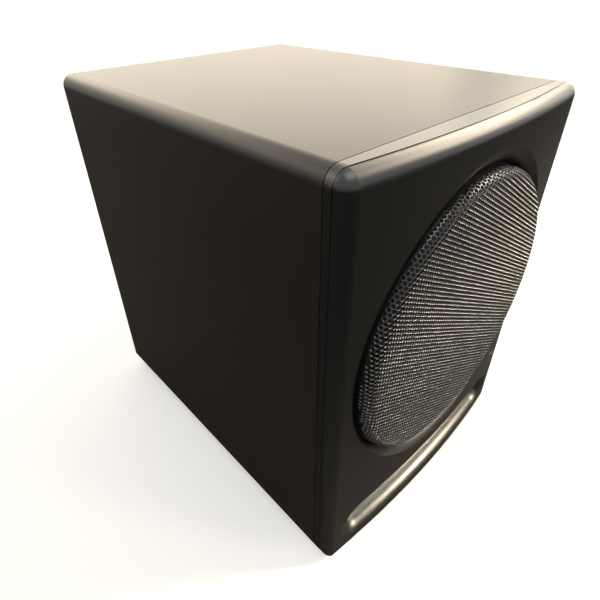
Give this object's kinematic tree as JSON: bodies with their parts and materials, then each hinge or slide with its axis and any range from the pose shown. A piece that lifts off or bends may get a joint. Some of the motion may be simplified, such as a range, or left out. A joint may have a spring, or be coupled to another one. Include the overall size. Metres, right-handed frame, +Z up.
{
  "type": "powered subwoofer",
  "caption": "Free-standing powered subwoofer: black bass-reflex cabinet with a bowed front, round perforated grille, wide slot port below it and an amplifier panel at the back.",
  "frame": {"origin": "middle of the footprint, on the floor under the feet", "axes": "+Z up; the grille faces -Y; +X to the right as seen from the front"},
  "size_m": [0.316, 0.4226, 0.408],
  "materials": {
    "vinyl_board": "black satin vinyl film over fibreboard",
    "baffle_satin": "fine-textured satin black",
    "grille_paint": "satin dark grey powder coat",
    "black_plastic": "fine-grained moulding",
    "lens_plastic": "smoked gloss",
    "led_glass": "clear",
    "soft_rubber": "dull black",
    "pressed_steel": "black stove enamel",
    "spider_cloth": "resin-coated weave",
    "motor_steel": "zinc plated",
    "ferrite": "dull sintered",
    "black_screws": "black oxide",
    "cone_paper": "coated paper, modelled as a light plastic",
    "former_foil": "plain foil",
    "copper_wire": "enamelled copper wire",
    "plate_paint": "fine-textured black powder coat",
    "heatsink_anodised": "black anodised",
    "board_laminate": "green solder mask",
    "plated_brass": "gold-coloured plating",
    "can_sleeve": "shrink sleeve"
  },
  "bodies": {
    "cabinet": {"cabinet_wrap": "vinyl_board", "back_panel": "vinyl_board", "front_baffle": "baffle_satin", "port_duct": "black_plastic", "grille": "grille_paint", "grille_gasket": "soft_rubber", "status_lens": "lens_plastic", "status_led": "led_glass", "basket": "pressed_steel", "woofer_gasket": "soft_rubber", "surround": "soft_rubber", "spider": "spider_cloth", "top_plate": "motor_steel", "magnet": "ferrite", "yoke": "motor_steel", "woofer_screws": "black_screws", "foot_front_left": "soft_rubber", "foot_front_right": "soft_rubber", "foot_rear_left": "soft_rubber", "foot_rear_right": "soft_rubber", "foot_screws": "motor_steel", "amp_gasket": "soft_rubber", "amp_plate": "plate_paint", "heatsink": "heatsink_anodised", "amp_board": "board_laminate", "board_posts": "plated_brass", "transformer": "copper_wire", "transformer_bolt": "motor_steel", "capacitor_left": "can_sleeve", "capacitor_right": "can_sleeve", "plate_screws": "black_screws", "mains_inlet": "black_plastic", "inlet_blades": "motor_steel", "switch_frame": "black_plastic", "level_pot": "motor_steel", "crossover_pot": "motor_steel", "polarity_body": "motor_steel", "highpass_body": "motor_steel", "jack_in_left": "black_plastic", "jack_in_right": "black_plastic", "jack_out_left": "black_plastic", "jack_out_right": "black_plastic", "phono_in_left": "plated_brass", "phono_in_right": "plated_brass", "phono_out_left": "plated_brass", "phono_out_right": "plated_brass"},
    "cone_body": {"cone": "cone_paper", "dust_cap": "cone_paper", "coil_former": "former_foil", "coil_winding": "copper_wire"},
    "level_body": {"level_knob": "black_plastic"},
    "crossover_body": {"crossover_knob": "black_plastic"},
    "rocker_body": {"power_rocker": "black_plastic"},
    "polarity_lever": {"polarity_slider": "black_plastic"},
    "highpass_lever": {"highpass_slider": "black_plastic"}
  },
  "joints": [
    {"name": "cone_stroke", "type": "slide", "parent": "cabinet", "child": "cone_body", "axis": [0, -1, 0], "range_m": [-0.006, 0.006], "stiffness_N_per_m": 5000, "deforming": ["surround", "spider"]},
    {"name": "level_turn", "type": "hinge", "parent": "cabinet", "child": "level_body", "pos_m": [0.07, 0.19625, 0.313], "axis": [0, 1, 0], "range_deg": [-150, 150]},
    {"name": "crossover_turn", "type": "hinge", "parent": "cabinet", "child": "crossover_body", "pos_m": [0.02, 0.19625, 0.313], "axis": [0, 1, 0], "range_deg": [-150, 150]},
    {"name": "rocker_tilt", "type": "hinge", "parent": "cabinet", "child": "rocker_body", "pos_m": [-0.02, 0.19525, 0.1], "axis": [1, 0, 0], "range_deg": [0, 20]},
    {"name": "polarity_slide", "type": "slide", "parent": "cabinet", "child": "polarity_lever", "axis": [-1, 0, 0], "range_m": [0, 0.004]},
    {"name": "highpass_slide", "type": "slide", "parent": "cabinet", "child": "highpass_lever", "axis": [-1, 0, 0], "range_m": [0, 0.004]}
  ]
}
